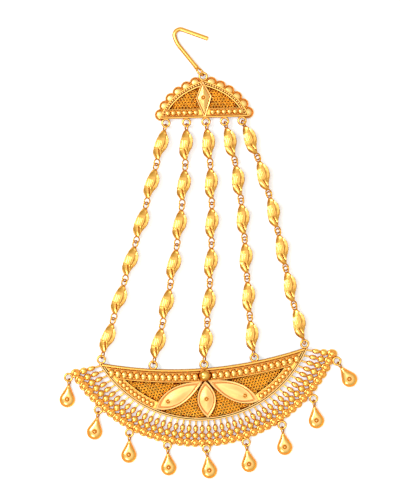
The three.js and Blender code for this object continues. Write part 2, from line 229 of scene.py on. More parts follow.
# %% [markdown]
# Most pieces are a skin over a row of outlines: a disc that is extruded and resized, a leaf that
# shrinks as it rises, a bead whose section turns. So the helper starts each piece as a circle, and
# extrudes it once for each outline, as one would by hand. The corners of each new ring are then
# moved onto their outline. Wires are curves with a round bevel, made into meshes. What repeats is
# modelled once, and its copies are placed by a matrix each.


# %% Helpers: skins, wires and copies
# A new ring is extruded this far off, clear of the old one, before its corners go to their places
FAR_OFF = Vector((0, 0, 1000))


def begin():
    bpy.ops.object.select_all(action="DESELECT")


def put_in_order(data):
    """Sorts a mesh's edges and faces, since extruding orders them differently at each run."""
    mesh = bmesh.new()
    mesh.from_mesh(data)
    for elements in (mesh.edges, mesh.faces):
        ranked = sorted(elements, key=lambda element: sorted(v.index for v in element.verts))
        ranks = {element: rank for rank, element in enumerate(ranked)}
        elements.sort(key=ranks.get)
    mesh.to_mesh(data)
    mesh.free()


def skinned(name, outlines):
    """A closed skin over outlines, each a row of as many points, from the first to the last."""
    begin()
    bpy.ops.mesh.primitive_circle_add(vertices=len(outlines[0]), radius=1, fill_type="NGON")
    made = bpy.context.active_object
    made.name = name
    bpy.ops.object.mode_set(mode="EDIT")
    mesh = bmesh.from_edit_mesh(made.data)
    mesh.verts.ensure_lookup_table()
    before = [v.co.copy() for v in mesh.verts]
    for n, outline in enumerate(outlines):
        lift = FAR_OFF if n else Vector((0, 0, 0))
        if n:
            bpy.ops.mesh.extrude_region_move(TRANSFORM_OT_translate={"value": lift})
            mesh = bmesh.from_edit_mesh(made.data)
        ring = [v for v in mesh.verts if v.select]
        order = [min(ring, key=lambda v: (v.co - lift - old).length_squared) for old in before]
        for vertex, place in zip(order, outline):
            vertex.co = place
        before = [Vector(place) for place in outline]
        bmesh.update_edit_mesh(made.data)
    bpy.ops.mesh.select_all(action="SELECT")
    bpy.ops.mesh.normals_make_consistent(inside=False)
    bpy.ops.object.mode_set(mode="OBJECT")
    put_in_order(made.data)
    return made


def raised(points, height):
    return [p + Vector((0, 0, height)) for p in points]


def stepped(name, outline, middle, steps):
    """An outline raised in steps, each with its size about the middle and its height."""
    rings = [raised([middle + (p - middle) * size for p in outline], z) for size, z in steps]
    return skinned(name, rings)


def circle(radius, count, middle=None):
    """Points round a circle, clockwise from its top."""
    middle = middle or flat(0, 0)
    return [middle + direction(-360 * i / count) * -radius for i in range(count)]


def wire(name, points, radius, closed=False, fineness=2):
    """Round wire along a line of points."""
    begin()
    bpy.ops.curve.primitive_nurbs_path_add()
    line = bpy.context.active_object
    line.name = name
    line.data.splines.clear()
    spline = line.data.splines.new("POLY")
    spline.points.add(len(points) - 1)
    for point, place in zip(spline.points, points):
        point.co = (*place, 1)
    spline.use_cyclic_u = closed
    line.data.bevel_depth = radius
    line.data.bevel_resolution = fineness
    line.data.use_fill_caps = not closed
    bpy.ops.object.convert(target="MESH")
    return bpy.context.active_object


def ring(name, size, lean=0.0, place=(0, 0, 0), sides=20, wire_sides=8):
    """A wire ring, which lies flat or leans about the line from top to bottom."""
    begin()
    bpy.ops.mesh.primitive_torus_add(
        major_segments=sides,
        minor_segments=wire_sides,
        major_radius=size[0],
        minor_radius=size[1],
    )
    made = bpy.context.active_object
    made.name = name
    made.data.transform(Matrix.Translation(place) @ Matrix.Rotation(math.radians(lean), 4, "Y"))
    return made


def grain(name, radius, squash=1.0, fineness=2):
    begin()
    bpy.ops.mesh.primitive_ico_sphere_add(subdivisions=fineness, radius=radius)
    made = bpy.context.active_object
    made.name = name
    made.data.transform(Matrix.Diagonal((1, 1, squash, 1)))
    return made


def copies(name, unit, matrices):
    """One piece of copies of a unit, which is used up."""
    gathered = bmesh.new()
    for matrix in matrices:
        one = unit.data.copy()
        one.transform(matrix)
        gathered.from_mesh(one)
        bpy.data.meshes.remove(one)
    made = bpy.data.objects.new(name, bpy.data.meshes.new(name))
    gathered.to_mesh(made.data)
    gathered.free()
    bpy.context.scene.collection.objects.link(made)
    bpy.data.objects.remove(unit)
    return made


def copied(piece, name):
    """A copy of a piece, with a mesh of its own."""
    made = piece.copy()
    made.data = piece.data.copy()
    made.name = made.data.name = name
    bpy.context.scene.collection.objects.link(made)
    return made


def at(place, turn=0.0):
    return Matrix.Translation(place) @ Matrix.Rotation(math.radians(turn), 4, "Z")


def painted(piece, material):
    piece.data.materials.clear()
    piece.data.materials.append(material)
    return piece


def smooth(piece, degrees=40.0):
    begin()
    piece.select_set(True)
    bpy.context.view_layer.objects.active = piece
    bpy.ops.object.shade_smooth_by_angle(angle=math.radians(degrees))
    return piece


def finished(piece, material, degrees=60.0):
    return painted(smooth(piece, degrees), material)


def joined(name, pieces):
    begin()
    for piece in pieces:
        piece.select_set(True)
    bpy.context.view_layer.objects.active = pieces[0]
    bpy.ops.object.join()
    made = bpy.context.active_object
    made.name = name
    made.data.name = name
    return made


def settle(piece, matrix, slot, *nodes):
    """Puts a piece in its place on the ornament, in metres, over its CAD nodes."""
    piece.data.transform(Matrix.Scale(MM, 4) @ Matrix.Translation(origin) @ matrix)
    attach(piece, "root")
    if nodes:
        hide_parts(*nodes)
    print(piece.name, len(piece.data.polygons), "faces")
    return piece


# %% [markdown]
# The whole ornament is one rich yellow gold. Polished gold has almost no texture of its own: it
# shows what is round it, and it turns from yellow to orange where it reflects itself. So a deep
# orange is painted into the metal's colour as shade and self-reflection: where two pieces stand
# close, from ambient occlusion, and on its flanks, from the way the surface faces. Small changes of
# tone and roughness and fine scratches as a bump finish it. The chased plates and leaves are
# rougher than the beads, wires and drops. The ground under the net and the seats of the small rings
# are painted dark and dull, as shade.


# %% Gold
# The bright colour is dulled by this much in patches
PATCH = (0.97, 0.92, 0.82)
SCRATCH_DEPTH = 0.05


def gold(name, bright, deep, rough, bump, scale, reach=1.1, flank=0.62):
    """Gold with painted shade where others stand within reach (mm) and where it faces aside."""
    material = bpy.data.materials.new(name)
    material.use_nodes = True
    nodes, links = material.node_tree.nodes, material.node_tree.links
    shader = nodes["Principled BSDF"]
    shader.inputs["Metallic"].default_value = 1.0
    shader.inputs["Specular Tint"].default_value = (1.0, 0.7, 0.3, 1)
    place = nodes.new("ShaderNodeTexCoord")
    tone = nodes.new("ShaderNodeTexNoise")
    tone.inputs["Scale"].default_value = scale
    tone.inputs["Detail"].default_value = 3
    links.new(place.outputs["Object"], tone.inputs["Vector"])
    shades = nodes.new("ShaderNodeMix")
    shades.data_type = "RGBA"
    shades.inputs["A"].default_value = (*bright, 1)
    shades.inputs["B"].default_value = (*[v * w for v, w in zip(bright, PATCH)], 1)
    links.new(tone.outputs["Fac"], shades.inputs["Factor"])
    # Painted shade and self-reflection: the colour turns deep orange where other pieces stand
    # within reach
    nearness = nodes.new("ShaderNodeAmbientOcclusion")
    nearness.samples = 8
    nearness.inputs["Distance"].default_value = reach * MM
    occlusion_shade = nodes.new("ShaderNodeMapRange")
    occlusion_shade.inputs["From Min"].default_value = 0.25
    occlusion_shade.inputs["From Max"].default_value = 0.85
    links.new(nearness.outputs["AO"], occlusion_shade.inputs["Value"])
    # Painted shade: the colour also turns deep orange where the surface faces aside, by its normal
    facing = nodes.new("ShaderNodeNewGeometry")
    upright = nodes.new("ShaderNodeSeparateXYZ")
    links.new(facing.outputs["Normal"], upright.inputs["Vector"])
    slope_shade = nodes.new("ShaderNodeMapRange")
    slope_shade.inputs["From Min"].default_value = 0.1
    slope_shade.inputs["From Max"].default_value = flank
    links.new(upright.outputs["Z"], slope_shade.inputs["Value"])
    lit_share = nodes.new("ShaderNodeMath")
    lit_share.operation = "MULTIPLY"
    links.new(occlusion_shade.outputs["Result"], lit_share.inputs[0])
    links.new(slope_shade.outputs["Result"], lit_share.inputs[1])
    # The deep colour of the painted shade is mixed in where the lit share is low
    painted_shade = nodes.new("ShaderNodeMix")
    painted_shade.data_type = "RGBA"
    painted_shade.inputs["A"].default_value = (*deep, 1)
    links.new(lit_share.outputs["Value"], painted_shade.inputs["Factor"])
    links.new(shades.outputs["Result"], painted_shade.inputs["B"])
    links.new(painted_shade.outputs["Result"], shader.inputs["Base Color"])
    gloss = nodes.new("ShaderNodeMapRange")
    gloss.inputs["To Min"].default_value = rough * 0.85
    gloss.inputs["To Max"].default_value = rough * 1.25
    links.new(tone.outputs["Fac"], gloss.inputs["Value"])
    links.new(gloss.outputs["Result"], shader.inputs["Roughness"])
    fine = nodes.new("ShaderNodeTexNoise")
    fine.inputs["Scale"].default_value = scale * 5
    links.new(place.outputs["Object"], fine.inputs["Vector"])
    relief = nodes.new("ShaderNodeBump")
    relief.inputs["Strength"].default_value = bump
    relief.inputs["Distance"].default_value = SCRATCH_DEPTH * MM
    links.new(fine.outputs["Fac"], relief.inputs["Height"])
    links.new(relief.outputs["Normal"], shader.inputs["Normal"])
    return material


# Bright colour, deep colour of the painted shade, roughness, scratches, scale of the patches,
# reach, flank
bead_gold = gold("bead_gold", (0.88, 0.53, 0.14), (0.5, 0.1, 0.001), 0.22, 0.02, 400, 1.1, 0.85)
wire_gold = gold("wire_gold", (0.95, 0.58, 0.15), (0.45, 0.085, 0.001), 0.14, 0.03, 400, 1.0, 0.92)
link_gold = gold("link_gold", (0.9, 0.47, 0.06), (0.3, 0.055, 0.001), 0.2, 0.02, 400, 1.2, 0.9)
drop_gold = gold("drop_gold", (0.97, 0.64, 0.22), (0.66, 0.18, 0.002), 0.2, 0.02, 400, 0.4, 0.7)
plate_gold = gold("plate_gold", (0.98, 0.63, 0.15), (0.6, 0.15, 0.001), 0.26, 0.15, 900, 0.45)
leaf_gold = gold("leaf_gold", (0.9, 0.61, 0.22), (0.66, 0.19, 0.002), 0.32, 0.3, 900, 0.5)
fringe_gold = gold("fringe_gold", (0.98, 0.65, 0.18), (0.6, 0.14, 0.001), 0.18, 0.06, 700, 0.6)
net_gold = gold("net_gold", (0.98, 0.66, 0.18), (0.8, 0.28, 0.01), 0.24, 0.2, 900, 0.15)
# Dark, dull gold painted as shade: a sheet that stands for the shadow in the open net and the slots
# between parts
shade_sheet_gold = gold("shade_sheet_gold", (0.2, 0.045, 0.003), (0.06, 0.01, 0.001), 0.5, 0.5, 900, 0.9)
# The seats under the small rings are painted dark, as shade in the groove round each ring
seat_shade_gold = gold("seat_shade_gold", (0.5, 0.17, 0.01), (0.3, 0.07, 0.002), 0.4, 0.2, 900, 0.9)
print("metals:", [m.name for m in bpy.data.materials if m.name.endswith("_gold")])

# %% [markdown]
# A bead is a spindle with three soft ridges. They wind fast at the upper tip, then run almost
# straight, so that a broad face lies upwards, and below it they wind back towards the lower tip. A
# fine line is cut along the right of the face, and a crease winds under it. Round the middle goes
# a band of fine strokes along the bead, which are in the metal's bump, with painted shade in their
# grooves. Here a round section of many sides is extruded down the bead. Each ring is sized, shifted
# and pressed towards a triangle by a short table, and a UV map unrolls the bead for the strokes.

# %% Bead
BEAD_SIDES = 48
BEAD_ROWS = 36
BEAD_FLATNESS = 0.85
BEAD_RIDGES = 3
RIDGE_REACH = 1.25
RIDGE_LIFT = 0.1
CUT_FADE = 0.03
BEAD_SHAPE = [
    {"share": 0.0, "width": 0.9, "shift": 0.0, "ridge": -130, "edge": 0.3},
    {"share": 0.03, "width": 1.4, "shift": 0.05, "ridge": -115, "edge": 0.45},
    {"share": 0.08, "width": 1.95, "shift": 0.16, "ridge": -95, "edge": 0.6},
    {"share": 0.15, "width": 2.65, "shift": 0.28, "ridge": -76, "edge": 0.65},
    {"share": 0.25, "width": 3.4, "shift": 0.3, "ridge": -62, "edge": 0.65},
    {"share": 0.36, "width": 3.85, "shift": 0.2, "ridge": -57, "edge": 0.65},
    {"share": 0.5, "width": 4.05, "shift": -0.05, "ridge": -54, "edge": 0.6},
    {"share": 0.61, "width": 3.95, "shift": -0.27, "ridge": -50, "edge": 0.55},
    {"share": 0.67, "width": 3.5, "shift": -0.38, "ridge": -46, "edge": 0.35},
    {"share": 0.75, "width": 3.2, "shift": -0.42, "ridge": -62, "edge": 0.35},
    {"share": 0.84, "width": 2.65, "shift": -0.34, "ridge": -76, "edge": 0.4},
    {"share": 0.92, "width": 1.95, "shift": -0.18, "ridge": -86, "edge": 0.4},
    {"share": 0.97, "width": 1.4, "shift": -0.04, "ridge": -90, "edge": 0.35},
    {"share": 1.0, "width": 0.9, "shift": 0.0, "ridge": -95, "edge": 0.3},
]
CUTS = [
    {"from": 0.08, "to": 0.7, "starts": 36, "winds": 18, "half_width": 12, "depth": 0.3},
    {"from": 0.63, "to": 0.95, "starts": -2, "winds": 160, "half_width": 12, "depth": 0.5},
]


def cut_depth(share, turn):
    """How deep the bead is cut at a place; each cut winds a little, and fades at its ends."""
    deepest = 0.0
    for cut in CUTS:
        way = share - cut["from"]
        off = abs((turn - cut["starts"] - way * cut["winds"] + 180) % 360 - 180)
        if 0 < way < cut["to"] - cut["from"] and off < cut["half_width"]:
            fade = min(1, way / CUT_FADE, (cut["to"] - share) / CUT_FADE)
            deepest = max(deepest, cut["depth"] * fade * (1 - off / cut["half_width"]))
    return deepest


def bead_row(shape):
    """One ring of the bead: a circle pressed towards a triangle with a corner at the ridge."""
    y = BEAD_LENGTH * (0.5 - shape["share"])
    lift = shape["width"] * shape["edge"] * RIDGE_LIFT
    half = 180 / BEAD_RIDGES
    row = []
    for i in range(BEAD_SIDES):
        turn = 360 * i / BEAD_SIDES
        off = math.radians((turn - shape["ridge"]) % (2 * half) - half)
        side = RIDGE_REACH * math.cos(math.radians(half)) / math.cos(off)
        radius = shape["width"] / 2 * (shape["edge"] * side + 1 - shape["edge"])
        radius -= cut_depth(shape["share"], turn)
        x = shape["shift"] + radius * math.sin(math.radians(turn))
        z = lift + BEAD_FLATNESS * radius * math.cos(math.radians(turn))
        row.append(Vector((x, y, z)))
    return row


def eased(table, count):
    """The table's rows at even shares of the way, so that the skin turns smoothly."""
    rows = []
    for i in range(count + 1):
        share = i / count
        for a, b in zip(table, table[1:]):
            if share <= b["share"]:
                t = (share - a["share"]) / (b["share"] - a["share"])
                rows.append({key: a[key] + (b[key] - a[key]) * t for key in a})
                break
    return rows


def bead_body():
    made = skinned("bead_body", [bead_row(row) for row in eased(BEAD_SHAPE, BEAD_ROWS)])
    unrolled = made.data.uv_layers.new(name="round_and_along")
    for face in made.data.polygons:
        spots = []
        for corner in face.loop_indices:
            x, y, z = made.data.vertices[made.data.loops[corner].vertex_index].co
            spots.append([(math.atan2(x, z) / math.tau) % 1, 0.5 - y / BEAD_LENGTH])
        if max(s[0] for s in spots) - min(s[0] for s in spots) > 0.5:
            spots = [[u + 1 if u < 0.5 else u, v] for u, v in spots]
        for corner, spot in zip(face.loop_indices, spots):
            unrolled.data[corner].uv = spot
    return smooth(made, 32)


print("bead rows:", BEAD_ROWS)

# %% Chased strokes round the middle of a bead
STROKES = 20
STROKE_DEPTH = 0.018
nodes, links = bead_gold.node_tree.nodes, bead_gold.node_tree.links
unrolled = nodes.new("ShaderNodeUVMap")
unrolled.uv_map = "round_and_along"
split = nodes.new("ShaderNodeSeparateXYZ")
links.new(unrolled.outputs["UV"], split.inputs["Vector"])
strokes = nodes.new("ShaderNodeMath")
strokes.operation = "MULTIPLY"
strokes.inputs[1].default_value = math.tau * STROKES
links.new(split.outputs["X"], strokes.inputs[0])
wave = nodes.new("ShaderNodeMath")
wave.operation = "SINE"
links.new(strokes.outputs["Value"], wave.inputs[0])
band = nodes.new("ShaderNodeValToRGB")
for share, height in ((0.34, 0), (0.38, 1), (0.62, 1), (0.65, 0)):
    stop = band.color_ramp.elements.new(share)
    stop.color = (height, height, height, 1)
band.color_ramp.elements[0].color = (0, 0, 0, 1)
band.color_ramp.elements[-1].color = (0, 0, 0, 1)
links.new(split.outputs["Y"], band.inputs["Fac"])
chased = nodes.new("ShaderNodeMath")
chased.operation = "MULTIPLY"
links.new(wave.outputs["Value"], chased.inputs[0])
links.new(band.outputs["Color"], chased.inputs[1])
cuts = nodes.new("ShaderNodeBump")
cuts.inputs["Strength"].default_value = 1.0
cuts.inputs["Distance"].default_value = STROKE_DEPTH * MM
links.new(chased.outputs["Value"], cuts.inputs["Height"])
links.new(nodes["Bump"].outputs["Normal"], cuts.inputs["Normal"])
links.new(cuts.outputs["Normal"], nodes["Principled BSDF"].inputs["Normal"])
# The grooves of the strokes get a deep orange, as painted shade
grooves = nodes.new("ShaderNodeMapRange")
grooves.inputs["From Min"].default_value = 0.0
grooves.inputs["From Max"].default_value = -1.0
grooves.inputs["To Max"].default_value = 0.6
links.new(chased.outputs["Value"], grooves.inputs["Value"])
plain = nodes["Principled BSDF"].inputs["Base Color"].links[0].from_socket
# Painted shade: the base colour turns deep orange in the grooves
groove_shade = nodes.new("ShaderNodeMix")
groove_shade.data_type = "RGBA"
groove_shade.inputs["B"].default_value = (0.68, 0.3, 0.03, 1)
links.new(plain, groove_shade.inputs["A"])
links.new(grooves.outputs["Result"], groove_shade.inputs["Factor"])
links.new(groove_shade.outputs["Result"], nodes["Principled BSDF"].inputs["Base Color"])
print("bead metal has", len(nodes), "nodes")

# %% [markdown]
# Each bead has a ring soldered to either end, and the rings are linked from bead to bead. The
# rings lean one way and the other, so that they can pass through each other. A strand is a gently
# bowed line between a ring of the crown and one of the crescent, along which the beads are spaced
# evenly. The bead and its ring are modelled once, and each bead is a copy with a mesh of its own.


# %% Beads on their strands
# How far a bead's upper and lower ring lean, with those of the first and the last bead apart
BEAD_LEANS = (-42, 32)
END_LEANS = {0: (-66, 32), BEADS - 1: (-42, 66)}
STRAND_STEPS = 200


bead_model = painted(bead_body(), bead_gold)
ring_model = finished(ring("bead_ring", BEAD_RING), link_gold)


def bead(name, upper_lean, lower_lean):
    rings = []
    for reach, lean in ((BEAD_REACH, upper_lean), (-BEAD_REACH, lower_lean)):
        made = copied(ring_model, "end_ring")
        leaning = Matrix.Rotation(math.radians(lean), 4, "Y")
        made.data.transform(Matrix.Translation((0, reach, 0)) @ leaning)
        rings.append(made)
    return joined(name, [copied(bead_model, name), *rings])


def strand_line(strand):
    start = turned(crown_eyelet(strand), CROWN_TILT)
    end = turned(rim_eyelet(strand), CRESCENT_TILT) + crescent_place
    way = end - start
    right = flat(-way.y, way.x).normalized()
    upper = start + way / 3 + right * strand["upper"] * hang
    lower = start + way * (2 / 3) + right * strand["lower"] * hang
    return bezier([start, upper, lower, end], STRAND_STEPS)


for s, strand in enumerate(STRANDS, 1):
    line = strand_line(strand)
    length = sum((b - a).length for a, b in zip(line, line[1:]))
    pull = (length - strand_length(loose)) / (strand_length(taut) - strand_length(loose))
    first = loose(EYELET, BEAD_RING) * (1 - pull) + taut(EYELET, BEAD_RING) * pull
    next_one = loose(BEAD_RING, BEAD_RING) * (1 - pull) + taut(BEAD_RING, BEAD_RING) * pull
    for b in range(BEADS):
        start = first + b * (2 * BEAD_REACH + next_one)
        upper = along(line, start / length)
        lower = along(line, (start + 2 * BEAD_REACH) / length)
        heading = math.atan2(upper.y - lower.y, upper.x - lower.x) - math.pi / 2
        middle = (upper + lower) / 2 + Vector((0, 0, BEAD_HEIGHT))
        made = bead(f"twisted_bead_{s}_{b + 1}", *END_LEANS.get(b, BEAD_LEANS))
        spin = Matrix.Translation(middle) @ Matrix.Rotation(heading, 4, "Z")
        settle(made, spin, "polished_gold", f"strand_{s}_bead_{b + 1}")
for model in (bead_model, ring_model):
    bpy.data.objects.remove(model)

# %% [markdown]
# A drop is pressed from sheet: a tear with a raised rim, a groove inside it, and a dome that
# carries a small ring with a grain in it. The tear is one outline, which is raised and shrunk step
# by step. It is modelled once, and each copy lies its own way from its ring.


# %% Drops
DROP_RING_LEAN = 66
DOME_TOP = 1.66


def tear(count):
    """A tear's outline, with its blunt tip up, counted round from the tip."""
    radius = DROP_WIDTH / 2
    tip = -DROP_REACH
    middle = tip - DROP_LENGTH + radius
    touch = math.acos(radius / (tip - middle))
    shoulder = tip - 0.75
    points = [flat(-0.3, tip), flat(-0.62, shoulder)]
    for i in range(count + 1):
        angle = math.pi / 2 + touch + (math.tau - 2 * touch) * i / count
        points.append(flat(radius * math.cos(angle), middle + radius * math.sin(angle)))
    return points + [flat(0.62, shoulder), flat(0.3, tip)]


def eye_and_dot(spot, height, radius):
    """A ring with a grain in it, on a small seat of painted shade, as chased on drops and leaves.
    """
    place = Vector((spot.x, spot.y, height))
    seat = stepped("eye_seat", circle(radius, 20), flat(0, 0), [(1, -0.3), (1, 0.03)])
    seat.data.transform(Matrix.Translation(place))
    eye = ring("eye_ring", (radius, 0.11), 0, place, 20, 6)
    dot = grain("eye_dot", radius * 0.5)
    dot.data.transform(Matrix.Translation(place + Vector((0, 0, 0.06))))
    # The seat is painted dark, as shade round the ring
    painted(seat, seat_shade_gold)
    return [seat, finished(eye, drop_gold), finished(dot, leaf_gold)]


def drop(name):
    outline = tear(28)
    dome_middle = flat(0, -DROP_REACH - DROP_LENGTH + DROP_WIDTH / 2 + 0.25)
    steps = [(0.97, 0), (1, 0.25), (1, 1.15), (0.985, 1.3), (0.95, 1.38), (0.91, 1.3), (0.89, 1.12)]
    steps += [(0.86, 1.12), (0.8, 1.28), (0.66, 1.48), (0.5, 1.6), (0.3, DOME_TOP), (0.05, 1.68)]
    body = stepped("tear_body", outline, dome_middle, steps)
    eye_spot = flat(0, dome_middle.y - 0.1)
    loop = ring("drop_ring", DROP_RING, DROP_RING_LEAN, (0, 0, DROP_RING_HEIGHT))
    for part, metal in ((body, drop_gold), (loop, link_gold)):
        finished(part, metal, 50)
    return joined(name, [body, loop, *eye_and_dot(eye_spot, DOME_TOP, 0.8)])


drop_model = drop("drop_model")
for number, lies in enumerate(DROPS, 1):
    spot = turned(drop_eyelet(lies), CRESCENT_TILT) + crescent_place
    spot += direction(lies["hangs"]) * taut(EYELET, DROP_RING)
    made = copied(drop_model, f"tear_drop_{number}")
    settle(made, at(spot, lies["lies"]), "polished_gold", f"drop_{number}")
bpy.data.objects.remove(drop_model)

# %% [markdown]
# The hook is one piece of round wire: a leg that rises from a small eye, a slight sweep, a tight
# bend and a straight point that comes back to the right. Its centreline is walked with a heading
# that turns, like a turtle's. The eye hangs in the crown's top ring, and the bend rests on the
# table.

# %% Hook
HOOK_WIRE = 0.635
HOOK_EYE = (1.4, 0.34)
HOOK_EYE_HEIGHT = 1.7
HOOK_LEG = 8.3
HOOK_POINT = 8.2
HOOK_BEND = (1.75, 124)
HOOK_SWEEP = (8.0, 25)
HOOK_EYE_LEAN = 65
HOOK_HANGS = 180 + 33
HOOK_LIES = 39


def hook_line():
    points = [flat(0, HOOK_EYE[0])]
    heading = 90.0

    def go(length):
        step = flat(math.cos(math.radians(heading)), math.sin(math.radians(heading)))
        points.append(points[-1] + step * length)

    go(HOOK_LEG)
    for (radius, turn), chords in ((HOOK_SWEEP, 6), (HOOK_BEND, 18)):
        for _ in range(chords):
            heading -= turn / chords / 2
            go(2 * radius * math.sin(math.radians(turn / chords / 2)))
            heading -= turn / chords / 2
    go(HOOK_POINT)
    return points


hook_reach = (
    HOOK_EYE[0]
    + HOOK_LEG
    + HOOK_SWEEP[0] * math.sin(math.radians(HOOK_SWEEP[1]))
    + HOOK_BEND[0] * (1 - math.sin(math.radians(HOOK_SWEEP[1])))
)
hook_place = turned(crown_ring, CROWN_TILT) + direction(HOOK_HANGS) * taut(EYELET, HOOK_EYE)
hook_place.z = HOOK_EYE_HEIGHT
line = hook_line()
tip = line[-1]
wire_body = wire("hook_wire", line, HOOK_WIRE, fineness=4)
tip_ball = grain("hook_tip", HOOK_WIRE, 1.0, 3)
tip_ball.data.transform(Matrix.Translation(tip.lerp(line[-2], 0.06)))
eye = ring("hook_eye", HOOK_EYE, HOOK_EYE_LEAN, (0, 0, 0), 24, 10)
hook_collar = wire("hook_collar", [flat(0, 1.5), flat(0, 2.3)], 0.72, fineness=4)
for part in (wire_body, tip_ball, eye, hook_collar):
    finished(part, wire_gold, 50)
hook_dip = Matrix.Rotation(-math.asin((HOOK_EYE_HEIGHT - HOOK_WIRE) / hook_reach), 4, "X")
hook = joined("wire_hook", [wire_body, tip_ball, eye, hook_collar])
settle(hook, at(hook_place, HOOK_LIES) @ hook_dip, "polished_gold", "hook")

# %% [markdown]
# Leaves are raised from thin sheet and soldered onto the plates: a wire-edged rim, a groove, and a
# domed middle with a ring and a grain on it. Their outline is two curves from root to tip, or four
# straight sides, and the same stepped skin raises them. The ground between them is a net of tiny
# wire rings, open wirework, over a dark sheet that is painted shade: one ring of few faces, which
# is copied over a honeycomb, and a tiny grain beside each.


# %% Leaves and the net
def leaf_outline(length, width, belly=0.5, count=14):
    """Two curves from the root at the origin up to the tip, widest at the belly."""
    right = bezier([flat(0, 0), flat(width, length * belly), flat(0, length)], count)
    left = [flat(-p.x, p.y) for p in reversed(right)]
    return right[:-1] + left[:-1]


def rhombus(count=6):
    """The crown's leaf: straight sides from the lower tip round its four corners."""
    corners = [flat(0.15, 0), flat(2.2, 6.4), flat(-0.2, 10.9), flat(-2.2, 5.9), flat(0.15, 0)]
    return [a.lerp(b, i / count) for a, b in zip(corners, corners[1:]) for i in range(count)]


def leaf(name, outline, middle, base, rise, dot):
    steps = [(1, base - 0.5), (1, base + 0.3), (0.96, base + 0.45), (0.9, base + 0.4)]
    steps += [(0.86, base + 0.1), (0.82, base + 0.1), (0.78, base + 0.45), (0.6, base + 0.6 * rise)]
    steps += [(0.35, base + 0.9 * rise), (0.05, base + rise)]
    body = finished(stepped(f"{name}_sheet", outline, middle, steps), leaf_gold, 28)
    rim = raised(outline, base + 0.3)
    edge = finished(wire(f"{name}_edge", rim, 0.2, True, 1), leaf_gold)
    return joined(name, [body, edge, *eye_and_dot(flat(dot[0], dot[1]), base + dot[2], 0.72)])


def inside(point, outline):
    """Whether a point is inside an outline, by the crossings to its right."""
    crossed = False
    for a, b in zip(outline, outline[1:] + outline[:1]):
        if (a.y > point.y) != (b.y > point.y):
            crossed ^= point.x < a.x + (b.x - a.x) * (point.y - a.y) / (b.y - a.y)
    return crossed


NET_PITCH = 0.92
NET_ROWS = 0.866
NET_RING = (0.41, 0.16)
NET_REACH = 60
NET_TILT = 16


def net(name, field, holes, height, angle=0.0):
    """Tiny rings over a field, but not in the holes, which are outlines too."""
    unit = ring("net_ring", NET_RING, 0, (0, 0, 0), 8, 4)
    chance = random.Random(7)
    spots = []
    for row in range(-NET_REACH, NET_REACH):
        for step in range(-NET_REACH, NET_REACH):
            spot = flat((step + row % 2 / 2) * NET_PITCH, row * NET_PITCH * NET_ROWS)
            spot = turned(spot, angle)
            if inside(spot, field) and not any(inside(spot, hole) for hole in holes):
                tilt = Matrix.Rotation(math.radians(chance.uniform(-NET_TILT, NET_TILT)), 4, "X")
                spots.append(at(spot + Vector((0, 0, height)), chance.uniform(0, 360)) @ tilt)
    made = copies(name, unit, spots)
    grains = copies(f"{name}_grains", grain("net_grain", 0.17, 1.0, 1), spots)
    print(name, len(spots), "rings")
    grains.data.transform(Matrix.Translation((*turned(flat(NET_PITCH / 2, 0), angle).xy, 0.08)))
    return finished(joined(name, [made, grains]), net_gold)


# %% [markdown]
# The crown is an arch of rounded lobes round a field of net, with a border of pearls between two
# wires. Its base carries a row of grains between wires, and a long keeled leaf stands in the
# middle. Everything is built about the middle of the base, and settled onto the ornament together.

# %% Crown: ground, lobes and border
PEARLS = 44


def arch(inset):
    right = crown_side(1, inset)[::5]
    left = crown_side(-1, inset)[::5]
    return [*left[::-1], *right[1:]]


# The ground under the crown's net is a dark sheet of painted shade
ground = stepped("crown_ground", arch(0.0)[::-1], flat(0, 4), [(1, 0), (1, 1.25)])
painted(ground, shade_sheet_gold)

lobe_steps = [(0.96, 0), (1, 0.2), (1, 1.3), (0.98, 1.45), (0.92, 1.55), (0.86, 1.45), (0.83, 1.1)]
lobe_steps += [(0.79, 1.1), (0.72, 1.25), (0.5, 1.42), (0.2, 1.5), (0.05, 1.52)]
lobe = stepped("crown_lobe", circle(CROWN_SCALLOP_RADIUS, 28), flat(0, 0), lobe_steps)
smooth(lobe, 35)
lobe_spots = []
for side in (-1, 1):
    for i in range(CROWN_SCALLOPS):
        spot = along(crown_side(side), (i + 0.85) / (CROWN_SCALLOPS + 0.2))
        lobe_spots.append(at(spot))
lobes = painted(copies("crown_lobes", lobe, lobe_spots), leaf_gold)

collar_steps = [(1, 1.0), (1, 1.5), (0.88, 1.5)]
# The collar under the border is painted dark, as shade
collar = stepped("crown_collar", arch(0.2)[::-1], flat(0, 4), collar_steps)
border = [painted(collar, shade_sheet_gold)]
edge_line = arch(0.85)
pearl_spots = raised([along(edge_line, i / PEARLS) for i in range(PEARLS + 1)], 1.65)
pearls = copies("crown_pearls", grain("pearl", 0.42), [at(spot) for spot in pearl_spots])
border.append(finished(pearls, leaf_gold))
for n, (inset, height, thick) in enumerate(((0.3, 1.45, 0.24), (1.5, 1.75, 0.26))):
    points = raised(arch(inset), height)
    border.append(finished(wire(f"crown_border_{n}", points, thick, False, 1), plate_gold))
bars = []
for height, thick, reach in ((0.34, 0.34, 12.9), (2.72, 0.18, 11.6), (0.82, 0.16, 12.4)):
    points = [Vector((-reach, height, 2.0)), Vector((reach, height, 2.0))]
    bars.append(finished(wire("crown_bar", points, thick, False, 2), wire_gold))
print("lobes:", len(lobe_spots))

# %% Crown: leaf, grains and net
crown_leaf_outline = rhombus()
crown_leaf = leaf("crown_leaf", crown_leaf_outline, flat(-0.1, 6.1), 1.8, 0.95, (-0.1, 6.1, 0.95))
keep_clear = [p * 1.12 + flat(0, -0.6) for p in crown_leaf_outline]

